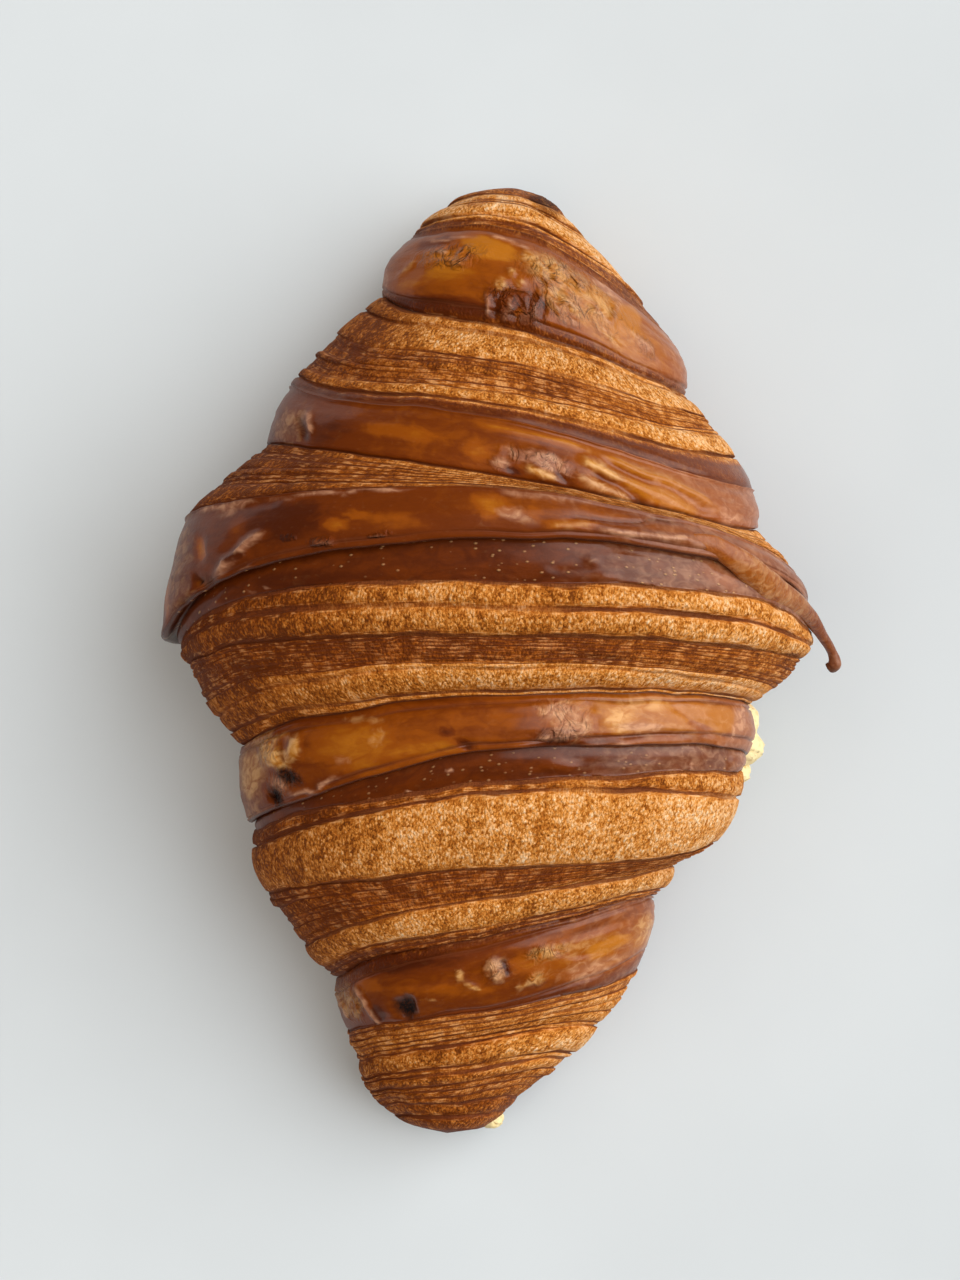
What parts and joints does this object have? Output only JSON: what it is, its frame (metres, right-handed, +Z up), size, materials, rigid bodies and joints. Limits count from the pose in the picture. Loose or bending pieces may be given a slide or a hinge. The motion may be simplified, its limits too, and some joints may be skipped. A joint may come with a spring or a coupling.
{
  "type": "croissant",
  "caption": "Baked butter croissant rolled from laminated dough, browned and glossy, with cut edges of fine layers and a curled tail, resting on a flat base.",
  "frame": {"origin": "middle of the flat base the croissant rests on", "axes": "+Y along the length towards the north tip, +X to the side the tail curls out of, +Z up through the crown"},
  "size_m": [0.1108, 0.161, 0.0582],
  "materials": {
    "crust": "egg-washed browned crust, glossy on the washed faces and matte on the cut edges"
  },
  "bodies": {
    "root": {"croissant": "crust"}
  },
  "joints": []
}
